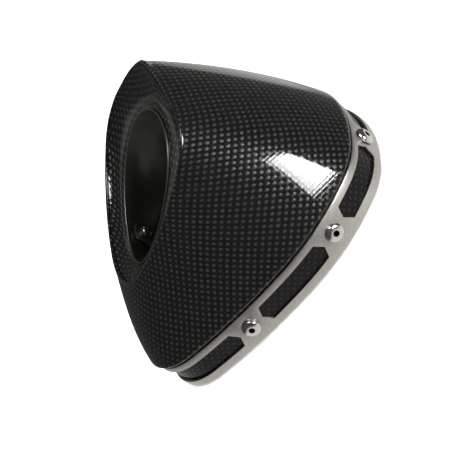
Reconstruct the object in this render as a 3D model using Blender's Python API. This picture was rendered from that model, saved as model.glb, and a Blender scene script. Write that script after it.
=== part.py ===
"""Carbon-fibre outlet cap of a motorcycle silencer, with its clamp band, sleeve and noise insert.

The cap stands on the rear edge of its clamp band. Z runs along the exhaust axis towards the
outlet, Y towards the roof of the section, and X across it. The section is mirrored in X.
"""
import math

import bmesh
import bpy
from mathutils import Matrix, Vector

MM = 0.001
GAP = 0.3 * MM                      # clearance between pieces that touch on the real cap
SHARP_ANGLE = math.radians(35)      # edges steeper than this are shaded sharp

# Base section: half outline from the roof round to the keel, as (radius, turn in degrees).
# One more arc, centred on the mirror plane, closes each half outline at the keel.
BASE_ARCS = ((84.7 * MM, 39.8), (26.4 * MM, 37.5), (69.3 * MM, 38.5), (215.6 * MM, 16.2))
MOUTH_ARCS = ((17.0 * MM, 11.3), (92.6 * MM, 22.8), (20.0 * MM, 71.8), (92.8 * MM, 31.4))
OUTLINE_POINTS = 60

# Clamp band
BAND_WIDTH = 17.0 * MM
BAND_WALL = 1.0 * MM
BAND_LIP = 3.2 * MM                 # how far the rolled rear edge reaches inwards
BAND_ROLL = 1.2 * MM                # outer radius of the rolled rear edge
BAND_EDGE = 0.4 * MM                # bevel on the front edge
WINDOW_HEIGHT = 9.2 * MM
WINDOW_POINT = 2.6 * MM             # length of a window's pointed end
WINDOW_TIP = 0.1 * MM               # half height left at the very point
WINDOW_STEP = 6.0 * MM
WINDOW_LAND = 7.3 * MM              # from a rivet's axis to the next window's point
RIVET_SPOTS = (45.0 * MM, 97.2 * MM, 153.5 * MM)  # along the outline from the roof's middle
RIVET_Z = BAND_WIDTH / 2 + 0.5 * MM

# Rivets
RIVET_HEAD = 4.3 * MM               # radius of the head
RIVET_RISE = 2.2 * MM
RIVET_SHANK = 2.2 * MM
RIVET_HOLE = 2.6 * MM
RIVET_BORE = 1.15 * MM              # hole left by the pulled pin
RIVET_BORE_DEPTH = 2.6 * MM
RIVET_EDGE = 0.3 * MM
RIVET_TAIL = 3.1 * MM               # radius of the bulb behind the stack
CUTTER_REACH = 8.0 * MM             # how far a rivet's hole is cut inwards from the band
CUTTER_MARGIN = 3.0 * MM

# Shell
SHELL_PROUD = 0.9 * MM              # how far the shell's foot stands outside the band
SHELL_WALL = 2.0 * MM
SHELL_FOOT = BAND_WIDTH + 1.2 * MM  # bottom of the shell's foot, above a shadow gap
FOOT_BEVEL = 0.9 * MM
SKIRT_BOTTOM = BAND_WALL + 0.4 * MM
SHELL_STEPS = 6
TAPER_CURVE = 0.38                  # 0 for a straight cone, more for a rounder shoulder

# Mouth: a slanted plane with a beak at the roof
MOUTH_DROP = 4.1 * MM               # how far the mouth's middle lies below the base section's
MOUTH_Z = 72.7 * MM
MOUTH_SLANT = 0.47
BEAK_RISE = 4.9 * MM
RIM_ROUND = 1.0 * MM

# Outlet opening, an egg with its blunt end at the roof
EGG_HALF_WIDTH = 25.9 * MM
EGG_HALF_HEIGHT = 30.1 * MM
EGG_TAPER = 0.2
EGG_DROP = 6.5 * MM
EGG_Z = 66.5 * MM
EGG_SLANT = 0.515
FUNNEL_WALL = 1.5 * MM
FUNNEL_NECK = 3.0 * MM              # straight end of the dish, round the sleeve
FUNNEL_STEPS = 5
FUNNEL_DISH = 2.6                   # how quickly the dish falls away from the rim

# Outlet sleeve
SLEEVE_DROP = 7.0 * MM              # sleeve axis below the middle of the base section
SLEEVE_RADIUS = 25.2 * MM           # inside, in the round part
SLEEVE_WALL = 1.0 * MM
SLEEVE_BOTTOM = 8.0 * MM
SLEEVE_NECK = 6.2 * MM              # straight part below the lip, inside funnel and seal
SLEEVE_ROUND_BELOW = 8.0 * MM       # below that the egg turns round over this height
SLEEVE_PROUD = 0.9 * MM
ROUND_POINTS = 40                   # round loops of the sleeve and the insert
TURNED_POINTS = 12                  # round loops of small turned pieces

# Bulkhead, backing ring and packing
BACKING_BOTTOM = 2.4 * MM
BACKING_TOP = 15.2 * MM
BACKING_WALL = 1.5 * MM
PLATE_WALL = 1.2 * MM
PLATE_COLLAR = 3.0 * MM
GASKET_WIDTH = 7.5 * MM
GASKET_THICK = 1.5 * MM
LINER_WALL = 0.6 * MM
LINER_GAP = 0.8 * MM
LAGGING_THICK = 3.0 * MM
SEAL_WIDTH = 2.6 * MM
SEAL_THICK = 1.6 * MM

# Noise insert
COLLAR_RADIUS = 22.4 * MM
INSERT_WALL = 1.2 * MM
COLLAR_BOTTOM = 30.0 * MM
COLLAR_TOP = 43.0 * MM
TAB_AZIMUTH = 229.0                 # degrees from +X, seen from the outlet
TAB_SPREAD = 15.0                   # half width of the tab, degrees
TAB_TOP = 55.0 * MM
TAB_ROUNDING = 0.99                 # 1 would bring the tab's corners down to nothing
TAB_STEPS = 8
CONE_BOTTOM = 20.0 * MM
CONE_LAND = 2.0 * MM                # straight part of the cone's wide end, each way
TUBE_RADIUS = 11.0 * MM
TUBE_WALL = 0.8 * MM
TUBE_BOTTOM = 4.2 * MM
TUBE_TOP = 22.0 * MM
PERFORATION = 1.6 * MM
PERFORATIONS = 8
PERFORATION_SIDES = 8
PERFORATION_ROWS = (8.0 * MM, 13.5 * MM)
SEAT_BOTTOM = 27.0 * MM
SEAT_TOP = 34.0 * MM
SEAT_SHOULDER = 1.0 * MM

# Lock screw, its washer and its nut, along a radius of the sleeve
SCREW_Z = 50.2 * MM
SCREW_RADIUS = 1.3 * MM
SCREW_HOLE = 1.95 * MM
SCREW_HEAD = 2.85 * MM
SCREW_HEAD_RISE = 1.7 * MM
SCREW_HEAD_EDGE = 0.3 * MM
SCREW_SOCKET = 1.0 * MM
SCREW_POINT = 0.4 * MM
WASHER_THICK = 0.5 * MM
WASHER_RADIUS = 3.0 * MM
NUT_THICK = 1.2 * MM
NUT_FLATS = 6.0 * MM
NUT_CHAMFER = 0.2 * MM

CENTRE_Y = 0.0   # puts the whole cap's box over the origin
MOUTH_Y = CENTRE_Y - MOUTH_DROP
EGG_Y = CENTRE_Y - EGG_DROP
SLEEVE_Y = CENTRE_Y - SLEEVE_DROP


# ---------------------------------------------------------------- outlines

class Outline:
    """A closed outline mirrored in X, made of arcs that run into each other."""

    def __init__(self, arcs, centre_y):
        self.arcs = []
        x = 0.0
        y = 0.0
        heading = 0.0
        length = 0.0
        for radius, degrees in arcs:
            turn = math.radians(degrees)
            self.arcs.append((length, x, y, heading, radius))
            x += radius * (math.sin(heading) - math.sin(heading - turn))
            y += radius * (math.cos(heading - turn) - math.cos(heading))
            heading -= turn
            length += radius * turn
        radius = x / math.sin(math.pi + heading)
        self.arcs.append((length, x, y, heading, radius))
        self.half = length + radius * (math.pi + heading)
        keel = y - radius * (1 + math.cos(heading))
        self.half_height = -keel / 2
        self.lift = centre_y + self.half_height

    def at(self, distance, inset=0.0):
        """Point at a distance along the outline from the roof, and its outward normal."""
        distance %= 2 * self.half
        side = 1.0 if distance <= self.half else -1.0
        distance = min(distance, 2 * self.half - distance)
        start, x, y, heading, radius = [arc for arc in self.arcs if arc[0] <= distance + 1e-9][-1]
        now = heading - (distance - start) / radius
        normal = Vector((side * -math.sin(now), math.cos(now)))
        point = Vector((
            side * (x + radius * (math.sin(heading) - math.sin(now))),
            y + radius * (math.cos(now) - math.cos(heading)) + self.lift,
        ))
        return point - normal * inset, normal

    def point(self, fraction, inset=0.0):
        return self.at(fraction * 2 * self.half, inset)[0]


BASE = Outline(BASE_ARCS, CENTRE_Y)
MOUTH = Outline(MOUTH_ARCS, MOUTH_Y)


def fractions(count):
    return [i / count for i in range(count)]


def base_loop(inset, z):
    """Loop of the base section, moved inwards, at one height."""
    loop = []
    for fraction in fractions(OUTLINE_POINTS):
        point = BASE.point(fraction, inset)
        loop.append(Vector((point.x, point.y, z)))
    return loop


def mouth_height(y):
    """Height of the mouth's rim at a place on its outline."""
    offset = y - MOUTH_Y
    beak = min(max(2 * offset / MOUTH.half_height - 1, 0.0), 1.0)
    return MOUTH_Z + MOUTH_SLANT * offset + BEAK_RISE * beak ** 2


def mouth_loop(inset, below):
    loop = []
    for fraction in fractions(OUTLINE_POINTS):
        height = mouth_height(MOUTH.point(fraction).y)
        point = MOUTH.point(fraction, inset)
        loop.append(Vector((point.x, point.y, height - below)))
    return loop


def egg_loop(outset, above, count=OUTLINE_POINTS):
    """Loop of the outlet opening, moved outwards, on its own slanted plane."""
    loop = []
    for fraction in fractions(count):
        angle = 2 * math.pi * fraction
        rise = math.cos(angle)
        x = (EGG_HALF_WIDTH * (1 + EGG_TAPER * rise) + outset) * math.sin(angle)
        y = (EGG_HALF_HEIGHT + outset) * rise
        height = EGG_Z + EGG_SLANT * EGG_HALF_HEIGHT * rise + above
        loop.append(Vector((x, EGG_Y + y, height)))
    return loop


def circle_loop(radius, z, count=ROUND_POINTS, centre_y=SLEEVE_Y):
    """Circle round the sleeve's axis, starting at the roof like the other loops."""
    loop = []
    for fraction in fractions(count):
        angle = 2 * math.pi * fraction
        loop.append(Vector((radius * math.sin(angle), centre_y + radius * math.cos(angle), z)))
    return loop


def local_circle(radius, z, count):
    return circle_loop(radius, z, count, 0.0)


def mix_loops(first, second, weight, height_weight=None):
    """Loop part of the way from one loop to another, in plan and in height."""
    height_weight = weight if height_weight is None else height_weight
    loop = []
    for a, b in zip(first, second):
        point = a.lerp(b, weight)
        point.z = a.z + (b.z - a.z) * height_weight
        loop.append(point)
    return loop


# ---------------------------------------------------------------- building

def clear_scene():
    for item in list(bpy.data.objects):
        bpy.data.objects.remove(item, do_unlink=True)


def material(name, colour, roughness, metallic):
    finish = bpy.data.materials.new(name)
    finish.use_nodes = True
    shader = finish.node_tree.nodes["Principled BSDF"]
    shader.inputs["Base Color"].default_value = (*colour, 1.0)
    shader.inputs["Roughness"].default_value = roughness
    shader.inputs["Metallic"].default_value = metallic
    return finish


def carbon(name):
    return material(name, (0.012, 0.013, 0.014), 0.18, 0.0)


def steel(name, colour=(0.55, 0.53, 0.49), roughness=0.32):
    return material(name, colour, roughness, 1.0)


def fibre(name, colour):
    return material(name, colour, 0.9, 0.0)


def add_object(name, mesh, finish):
    item = bpy.data.objects.new(name, mesh)
    mesh.materials.append(finish)
    bpy.context.scene.collection.objects.link(item)
    return item


def skin_loops(shape, loops, ring):
    """Skin over loops of equal length. A ring joins its last loop to its first; else the
    two end loops are filled."""
    rows = [[shape.verts.new(point) for point in loop] for loop in loops]
    count = len(rows[0])
    pairs = list(zip(rows, rows[1:]))
    if ring:
        pairs.append((rows[-1], rows[0]))
    for lower, upper in pairs:
        for i in range(count):
            j = (i + 1) % count
            shape.faces.new((lower[i], lower[j], upper[j], upper[i]))
    if not ring:
        shape.faces.new(rows[0])
        shape.faces.new(rows[-1])


def finished_mesh(name, shape):
    bmesh.ops.recalc_face_normals(shape, faces=shape.faces)
    mesh = bpy.data.meshes.new(name)
    shape.to_mesh(mesh)
    shape.free()
    mesh.shade_smooth()
    mesh.set_sharp_from_angle(angle=SHARP_ANGLE)
    return mesh


def loft_mesh(name, loops, ring):
    shape = bmesh.new()
    skin_loops(shape, loops, ring)
    return finished_mesh(name, shape)


def ring_body(name, loops, finish):
    return add_object(name, loft_mesh(name, loops, True), finish)


def solid_body(name, loops, finish):
    return add_object(name, loft_mesh(name, loops, False), finish)


def cut(item, cutter):
    boolean = item.modifiers.new("cut_" + cutter.name, "BOOLEAN")
    boolean.operation = "DIFFERENCE"
    boolean.solver = "EXACT"
    boolean.object = cutter


def place(item, origin, direction):
    """Turn an object's Z axis to a direction and move its origin."""
    item.rotation_mode = "QUATERNION"
    item.rotation_quaternion = direction.to_track_quat("Z", "Y")
    item.location = origin


def cutter_body(name, solids):
    """One cutter made of several separate solids, each a list of loops with filled ends."""
    shape = bmesh.new()
    for loops in solids:
        skin_loops(shape, loops, False)
    mesh = finished_mesh(name, shape)
    cutter = add_object(name, mesh, material(name, (0.8, 0.1, 0.1), 0.5, 0.0))
    cutter.hide_render = True
    cutter.display_type = "WIRE"
    return cutter


# ---------------------------------------------------------------- rivets and windows

def rivet_distances():
    """Distances of the rivets along the outline, right round from the roof's middle."""
    far_side = [2 * BASE.half - spot for spot in reversed(RIVET_SPOTS)]
    return list(RIVET_SPOTS) + far_side


def rivet_axis(distance):
    point, normal = BASE.at(distance)
    return Vector((point.x, point.y, RIVET_Z)), Vector((normal.x, normal.y, 0.0))


def radial_prism(origin, direction, radius, start, end, count=TURNED_POINTS):
    """Round prism along a direction, between two distances from the origin."""
    across = direction.cross(Vector((0, 0, 1)))
    loops = []
    for reach in (start, end):
        loop = []
        for fraction in fractions(count):
            angle = 2 * math.pi * fraction
            spot = across * math.cos(angle) + Vector((0, 0, 1)) * math.sin(angle)
            loop.append(origin + direction * reach + spot * radius)
        loops.append(loop)
    return loops


def rivet_hole_cutter():
    sections = []
    for distance in rivet_distances():
        origin, normal = rivet_axis(distance)
        sections.append(radial_prism(origin, normal, RIVET_HOLE, -CUTTER_REACH, CUTTER_MARGIN))
    return cutter_body("rivet_hole_cutter", sections)


def window_section(distance, half_height):
    """Cross section of a window's cutter at one distance along the band."""
    section = []
    for walls, side in ((2, -1), (2, 1), (-1, 1), (-1, -1)):
        point = BASE.at(distance, walls * BAND_WALL)[0]
        section.append(Vector((point.x, point.y, RIVET_Z + side * half_height)))
    return section


def window_loops(start, end):
    """Long window with a point at each end, following the band round."""
    first = start + WINDOW_POINT
    last = end - WINDOW_POINT
    steps = round((last - first) / WINDOW_STEP)
    loops = [window_section(start, WINDOW_TIP)]
    for i in range(steps + 1):
        loops.append(window_section(first + (last - first) * i / steps, WINDOW_HEIGHT / 2))
    loops.append(window_section(end, WINDOW_TIP))
    return loops


def window_cutter():
    stations = rivet_distances()
    spans = list(zip(stations, stations[1:]))
    spans.append((stations[-1], stations[0] + 2 * BASE.half))
    windows = [window_loops(start + WINDOW_LAND, end - WINDOW_LAND) for start, end in spans]
    return cutter_body("window_cutter", windows)


def rivet_mesh():
    """Pulled blind rivet along its own Z, with its head's seat at zero."""
    stack = BAND_WALL + SHELL_WALL + BACKING_WALL + 3 * GAP
    tail = -stack - 2 * GAP
    profile = (
        (RIVET_TAIL * 0.7, tail - RIVET_TAIL),
        (RIVET_TAIL, tail - RIVET_TAIL * 0.6),
        (RIVET_SHANK, tail - GAP),
        (RIVET_SHANK, GAP),
        (RIVET_HEAD - RIVET_EDGE, GAP),
        (RIVET_HEAD, GAP + RIVET_EDGE),
        (RIVET_HEAD * 0.86, RIVET_RISE * 0.62),
        (RIVET_HEAD * 0.55, RIVET_RISE * 0.93),
        (RIVET_BORE + RIVET_EDGE, RIVET_RISE),
        (RIVET_BORE, RIVET_RISE - RIVET_EDGE),
        (RIVET_BORE, RIVET_RISE - RIVET_BORE_DEPTH),
    )
    loops = [local_circle(radius, z, TURNED_POINTS) for radius, z in profile]
    return loft_mesh("blind_rivet", loops, False)


def build_rivets():
    mesh = rivet_mesh()
    mesh.materials.append(steel("rivet_steel", (0.62, 0.62, 0.6), 0.2))
    for number, distance in enumerate(rivet_distances(), 1):
        origin, normal = rivet_axis(distance)
        item = bpy.data.objects.new("blind_rivet_%02d" % number, mesh)
        bpy.context.scene.collection.objects.link(item)
        place(item, origin, normal)


# ---------------------------------------------------------------- band, shell and funnel

def build_band(holes, windows):
    loops = [
        base_loop(BAND_ROLL, 0.0),
        base_loop(BAND_ROLL * 0.3, BAND_ROLL * 0.3),
        base_loop(0.0, BAND_ROLL),
        base_loop(0.0, BAND_WIDTH - BAND_EDGE),
        base_loop(BAND_EDGE, BAND_WIDTH),
        base_loop(BAND_WALL, BAND_WIDTH),
        base_loop(BAND_WALL, BAND_WALL),
        base_loop(BAND_LIP, BAND_WALL),
        base_loop(BAND_LIP, 0.0),
    ]
    band = ring_body("clamp_band", loops, steel("band_steel"))
    cut(band, holes)
    cut(band, windows)


def shell_loop(inset, part):
    """Loop of the shell between its foot (0) and its mouth (1)."""
    curve = part + TAPER_CURVE * part * (part - 1)
    foot = base_loop(inset - SHELL_PROUD, SHELL_FOOT + FOOT_BEVEL)
    return mix_loops(foot, mouth_loop(inset, RIM_ROUND), curve, part)


def build_shell(holes):
    skirt_out = BAND_WALL + GAP
    skirt_in = skirt_out + SHELL_WALL
    loops = [base_loop(skirt_in, SKIRT_BOTTOM), base_loop(skirt_out, SKIRT_BOTTOM)]
    loops.append(base_loop(skirt_out, SHELL_FOOT))
    loops.append(base_loop(FOOT_BEVEL - SHELL_PROUD, SHELL_FOOT))
    for step in range(SHELL_STEPS + 1):
        loops.append(shell_loop(0.0, step / SHELL_STEPS))
    loops.append(mouth_loop(0.3 * RIM_ROUND, 0.3 * RIM_ROUND))
    loops.append(mouth_loop(RIM_ROUND, 0.0))
    loops.append(mouth_loop(SHELL_WALL - 0.3 * RIM_ROUND, 0.3 * RIM_ROUND))
    for step in range(SHELL_STEPS, -1, -1):
        loops.append(shell_loop(SHELL_WALL, step / SHELL_STEPS))
    loops.append(base_loop(skirt_in, SHELL_FOOT - SHELL_WALL))
    shell = ring_body("outer_shell", loops, carbon("shell_carbon"))
    cut(shell, holes)


def build_liner():
    """Heat-reflecting liner that follows the inside of the shell."""
    inner = SHELL_WALL + LINER_GAP
    parts = (0.08, 0.42, 0.78)
    loops = [shell_loop(inner, part) for part in parts]
    loops += [shell_loop(inner + LINER_WALL, part) for part in reversed(parts)]
    ring_body("heat_liner", loops, steel("liner_foil", (0.75, 0.75, 0.74), 0.4))


def funnel_loop(part, below):
    """Loop of the dished mouth between the rim (0) and the outlet opening (1)."""
    rim = mouth_loop(SHELL_WALL + GAP, RIM_ROUND)
    edge = egg_loop(GAP, 0.0)
    loop = mix_loops(rim, edge, part, 1 - (1 - part) ** FUNNEL_DISH)
    return [point - Vector((0, 0, below)) for point in loop]


def build_funnel():
    steps = [step / FUNNEL_STEPS for step in range(FUNNEL_STEPS + 1)]
    loops = [funnel_loop(part, 0.0) for part in steps]
    loops.append(egg_loop(GAP, -FUNNEL_NECK))
    loops.append(egg_loop(GAP + FUNNEL_WALL, -FUNNEL_NECK))
    rim_step = steps[1] / 2
    under = [part for part in reversed(steps[1:-1])] + [rim_step]
    loops += [funnel_loop(part, FUNNEL_WALL) for part in under]
    loops.append([point - Vector((0, 0, FUNNEL_WALL)) for point in funnel_loop(0.0, 0.0)])
    ring_body("mouth_funnel", loops, carbon("funnel_carbon"))


def build_sleeve_seal():
    """Heat-proof ring between the hot sleeve and the carbon."""
    top = -FUNNEL_NECK - GAP
    loops = [
        egg_loop(GAP, top - SEAL_THICK),
        egg_loop(GAP + SEAL_WIDTH, top - SEAL_THICK),
        egg_loop(GAP + SEAL_WIDTH, top),
        egg_loop(GAP, top),
    ]
    ring_body("sleeve_seal", loops, fibre("seal_rubber", (0.03, 0.03, 0.03)))


# ---------------------------------------------------------------- sleeve and bulkhead

def sleeve_wall(outset, steps):
    """Loops of one face of the sleeve, from its lip down to its bottom."""
    lip = egg_loop(outset - SLEEVE_WALL, SLEEVE_PROUD)
    neck = egg_loop(outset - SLEEVE_WALL, SLEEVE_PROUD - SLEEVE_NECK)
    radius = SLEEVE_RADIUS + outset
    shoulder = circle_loop(radius, 0.0, OUTLINE_POINTS)
    for point, start in zip(shoulder, neck):
        point.z = start.z - SLEEVE_ROUND_BELOW
    loops = [lip]
    loops += [mix_loops(neck, shoulder, step / steps) for step in range(steps + 1)]
    loops.append(circle_loop(radius, SEAT_TOP, OUTLINE_POINTS))
    loops.append(circle_loop(radius, SLEEVE_BOTTOM, OUTLINE_POINTS))
    return loops


def build_sleeve():
    outer = sleeve_wall(SLEEVE_WALL, 2)
    inner = sleeve_wall(0.0, 2)
    ring_body("outlet_sleeve", outer + inner[::-1], steel("sleeve_steel", (0.2, 0.19, 0.18), 0.35))


def build_end_plate():
    bottom = BACKING_TOP + GAP
    top = bottom + PLATE_WALL
    edge = BAND_WALL + SHELL_WALL + 2 * GAP
    hole = SLEEVE_RADIUS + SLEEVE_WALL + GAP
    loops = [
        base_loop(edge, bottom),
        base_loop(edge, top),
        circle_loop(hole + PLATE_WALL, top, OUTLINE_POINTS),
        circle_loop(hole + PLATE_WALL, top + PLATE_COLLAR, OUTLINE_POINTS),
        circle_loop(hole, top + PLATE_COLLAR, OUTLINE_POINTS),
        circle_loop(hole, bottom, OUTLINE_POINTS),
    ]
    ring_body("end_plate", loops, steel("plate_steel", (0.45, 0.44, 0.42), 0.45))


def build_backing_ring(holes):
    outer = BAND_WALL + SHELL_WALL + 2 * GAP
    inner = outer + BACKING_WALL
    loops = [
        base_loop(outer, BACKING_BOTTOM),
        base_loop(outer, BACKING_TOP),
        base_loop(inner, BACKING_TOP),
        base_loop(inner, BACKING_BOTTOM),
    ]
    ring = ring_body("backing_ring", loops, steel("backing_steel", (0.5, 0.49, 0.47), 0.4))
    cut(ring, holes)


def build_gasket():
    """Flat ring that the silencer body's end presses on, under the bulkhead."""
    edge = BAND_WALL + SHELL_WALL + BACKING_WALL + 3 * GAP
    loops = [
        base_loop(edge, BACKING_TOP - GASKET_THICK),
        base_loop(edge, BACKING_TOP),
        base_loop(edge + GASKET_WIDTH, BACKING_TOP),
        base_loop(edge + GASKET_WIDTH, BACKING_TOP - GASKET_THICK),
    ]
    ring_body("body_gasket", loops, fibre("gasket_fibre", (0.1, 0.1, 0.1)))


def build_lagging():
    """Glass-fibre wrap round the straight part of the sleeve."""
    inner = SLEEVE_RADIUS + SLEEVE_WALL + GAP
    bottom = BACKING_TOP + PLATE_WALL + PLATE_COLLAR + 3 * GAP
    loops = [
        circle_loop(inner, bottom),
        circle_loop(inner + LAGGING_THICK, bottom),
        circle_loop(inner + LAGGING_THICK, SEAT_TOP),
        circle_loop(inner, SEAT_TOP),
    ]
    ring_body("sleeve_lagging", loops, fibre("lagging_glass", (0.6, 0.58, 0.5)))


# ---------------------------------------------------------------- noise insert

def build_insert_seat():
    """Stepped ring fixed in the sleeve, which centres the insert and stops it."""
    outer = SLEEVE_RADIUS - GAP
    bore = COLLAR_RADIUS + GAP
    shoulder = COLLAR_RADIUS - SEAT_SHOULDER
    loops = [
        circle_loop(outer, SEAT_BOTTOM),
        circle_loop(outer, SEAT_TOP),
        circle_loop(bore, SEAT_TOP),
        circle_loop(bore, COLLAR_BOTTOM - GAP),
        circle_loop(shoulder, COLLAR_BOTTOM - GAP),
        circle_loop(shoulder, SEAT_BOTTOM),
    ]
    ring_body("insert_seat", loops, steel("seat_steel", (0.3, 0.29, 0.28), 0.4))


def tab_direction():
    """Horizontal direction from the sleeve's axis out to the tab."""
    angle = math.radians(TAB_AZIMUTH)
    return Vector((math.cos(angle), math.sin(angle), 0.0))


def screw_point(radius):
    return Vector((0.0, SLEEVE_Y, SCREW_Z)) + tab_direction() * radius


def build_insert_collar():
    inside = COLLAR_RADIUS - INSERT_WALL
    loops = [
        circle_loop(COLLAR_RADIUS, COLLAR_BOTTOM),
        circle_loop(COLLAR_RADIUS, COLLAR_TOP),
        circle_loop(inside, COLLAR_TOP),
        circle_loop(inside, COLLAR_BOTTOM),
    ]
    ring_body("insert_collar", loops, steel("collar_steel", (0.22, 0.21, 0.2), 0.4))


def tab_section(share):
    """Cross section of the tab; share runs from -1 to 1 across it, and its top is rounded."""
    angle = math.radians(TAB_AZIMUTH + share * TAB_SPREAD)
    bottom = COLLAR_TOP + GAP
    top = bottom + (TAB_TOP - bottom) * (1 - TAB_ROUNDING * share ** 4) ** 0.5
    section = []
    for radius, z in ((0, bottom), (0, top), (INSERT_WALL, top), (INSERT_WALL, bottom)):
        reach = COLLAR_RADIUS - radius
        section.append(Vector((reach * math.cos(angle), SLEEVE_Y + reach * math.sin(angle), z)))
    return section


def build_screw_tab():
    """Tab welded on the collar's upper edge, which carries the lock screw."""
    steps = range(-TAB_STEPS, TAB_STEPS + 1)
    loops = [tab_section(step / TAB_STEPS) for step in steps]
    tab = solid_body("screw_tab", loops, steel("tab_steel", (0.22, 0.21, 0.2), 0.4))
    near = COLLAR_RADIUS - 2 * INSERT_WALL
    far = COLLAR_RADIUS + INSERT_WALL
    hole = radial_prism(screw_point(0.0), tab_direction(), SCREW_HOLE, near, far)
    cut(tab, cutter_body("screw_hole_cutter", [hole]))


def build_insert_cone():
    wide = COLLAR_RADIUS - INSERT_WALL - GAP
    narrow = TUBE_RADIUS + GAP + TUBE_WALL
    shoulder = COLLAR_BOTTOM - CONE_LAND
    throat = CONE_BOTTOM + 0.75 * CONE_LAND
    loops = [
        circle_loop(wide, COLLAR_BOTTOM + CONE_LAND),
        circle_loop(wide, shoulder),
        circle_loop(narrow, throat),
        circle_loop(narrow, CONE_BOTTOM),
        circle_loop(narrow - TUBE_WALL, CONE_BOTTOM),
        circle_loop(narrow - TUBE_WALL, throat + TUBE_WALL),
        circle_loop(wide - TUBE_WALL, shoulder + TUBE_WALL),
        circle_loop(wide - TUBE_WALL, COLLAR_BOTTOM + CONE_LAND),
    ]
    ring_body("insert_cone", loops, steel("cone_steel", (0.25, 0.24, 0.23), 0.4))


def build_insert_tube():
    count = ROUND_POINTS // 2
    inside = TUBE_RADIUS - TUBE_WALL
    loops = [
        circle_loop(TUBE_RADIUS, TUBE_BOTTOM, count),
        circle_loop(TUBE_RADIUS, TUBE_TOP, count),
        circle_loop(inside, TUBE_TOP, count),
        circle_loop(inside, TUBE_BOTTOM, count),
    ]
    tube = ring_body("perforated_tube", loops, steel("tube_steel", (0.25, 0.24, 0.23), 0.4))
    sections = []
    for row, z in enumerate(PERFORATION_ROWS):
        for i in range(PERFORATIONS):
            angle = 2 * math.pi * (i + row / 2 + 0.25) / PERFORATIONS
            out = Vector((math.cos(angle), math.sin(angle), 0.0))
            centre = Vector((0.0, SLEEVE_Y, z))
            near = TUBE_RADIUS - CUTTER_MARGIN
            far = TUBE_RADIUS + CUTTER_MARGIN
            sections.append(radial_prism(centre, out, PERFORATION, near, far, PERFORATION_SIDES))
    cut(tube, cutter_body("perforation_cutter", sections))


def build_insert_cap():
    count = ROUND_POINTS // 2
    top = TUBE_BOTTOM - GAP
    loops = [
        circle_loop(TUBE_RADIUS - TUBE_WALL, top - 1.5 * TUBE_WALL, count),
        circle_loop(TUBE_RADIUS, top - 0.7 * TUBE_WALL, count),
        circle_loop(TUBE_RADIUS, top, count),
    ]
    solid_body("insert_end_cap", loops, steel("cap_steel", (0.25, 0.24, 0.23), 0.4))


def build_lock_nut():
    """Hexagonal nut welded to the outside of the collar's tab."""
    corner = NUT_FLATS / math.sqrt(3)
    hexagon = [Vector((corner * math.cos(a), corner * math.sin(a), 0.0))
               for a in (math.radians(60 * i) for i in range(6))]
    loops = []
    face = 1 - NUT_CHAMFER / corner
    edge = NUT_THICK - NUT_CHAMFER
    for scale, z in ((face, 0.0), (1.0, NUT_CHAMFER), (1.0, edge), (face, NUT_THICK)):
        outline = [point * scale for point in hexagon]
        middle = [a.lerp(b, 0.5) for a, b in zip(outline, outline[1:] + outline[:1])]
        loop = [spot for pair in zip(outline, middle) for spot in pair]
        loops.append([spot + Vector((0, 0, z)) for spot in loop])
    for z in (NUT_THICK, 0.0):
        loops.append([Vector((SCREW_HOLE * math.cos(a), SCREW_HOLE * math.sin(a), z))
                      for a in (math.radians(30 * i) for i in range(12))])
    nut = ring_body("lock_nut", loops, steel("nut_steel", (0.4, 0.39, 0.37), 0.35))
    up = tab_direction()
    across = Vector((0, 0, 1)).cross(up)
    frame = Matrix((Vector((0, 0, 1)), -across, up)).transposed()
    nut.rotation_mode = "QUATERNION"
    nut.rotation_quaternion = frame.to_quaternion()
    nut.location = screw_point(COLLAR_RADIUS + GAP)


def screw_seat():
    """Radius at which the screw's head sits, on top of its washer."""
    return COLLAR_RADIUS - INSERT_WALL - 2 * GAP - WASHER_THICK


def build_lock_washer():
    loops = [
        local_circle(SCREW_HOLE, 0.0, TURNED_POINTS),
        local_circle(WASHER_RADIUS, 0.0, TURNED_POINTS),
        local_circle(WASHER_RADIUS, WASHER_THICK, TURNED_POINTS),
        local_circle(SCREW_HOLE, WASHER_THICK, TURNED_POINTS),
    ]
    washer = ring_body("lock_washer", loops, steel("washer_steel", (0.4, 0.39, 0.37), 0.35))
    place(washer, screw_point(screw_seat() + GAP + WASHER_THICK), -tab_direction())


def build_lock_screw():
    """Button-head screw, its axis along its own Z and its head's seat at zero."""
    tip = screw_seat() - COLLAR_RADIUS - GAP - NUT_THICK
    profile = (
        (SCREW_RADIUS - SCREW_POINT, tip),
        (SCREW_RADIUS, tip + SCREW_POINT),
        (SCREW_RADIUS, 0.0),
        (SCREW_HEAD, 0.0),
        (SCREW_HEAD, SCREW_HEAD_EDGE),
        (SCREW_HEAD * 0.88, SCREW_HEAD_RISE * 0.62),
        (SCREW_HEAD * 0.58, SCREW_HEAD_RISE),
        (SCREW_SOCKET, SCREW_HEAD_RISE),
        (SCREW_SOCKET, SCREW_HEAD_RISE * 0.35),
    )
    loops = [local_circle(radius, z, TURNED_POINTS) for radius, z in profile]
    screw = solid_body("lock_screw", loops, steel("screw_steel", (0.35, 0.34, 0.33), 0.25))
    place(screw, screw_point(screw_seat()), -tab_direction())


def build():
    clear_scene()
    holes = rivet_hole_cutter()
    windows = window_cutter()
    build_band(holes, windows)
    build_rivets()
    build_shell(holes)
    build_liner()
    build_funnel()
    build_sleeve_seal()
    build_sleeve()
    build_end_plate()
    build_backing_ring(holes)
    build_gasket()
    build_lagging()
    build_insert_seat()
    build_insert_collar()
    build_screw_tab()
    build_insert_cone()
    build_insert_tube()
    build_insert_cap()
    build_lock_nut()
    build_lock_washer()
    build_lock_screw()


build()
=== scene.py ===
"""Looks of a carbon-fibre silencer outlet cap, with its clamp band, sleeve and noise insert.

Z runs along the exhaust axis towards the outlet, Y towards the roof of the section, X across.
The fine pieces repeat the sizes of the CAD solids that they stand for, in metres.
"""

import math

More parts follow.
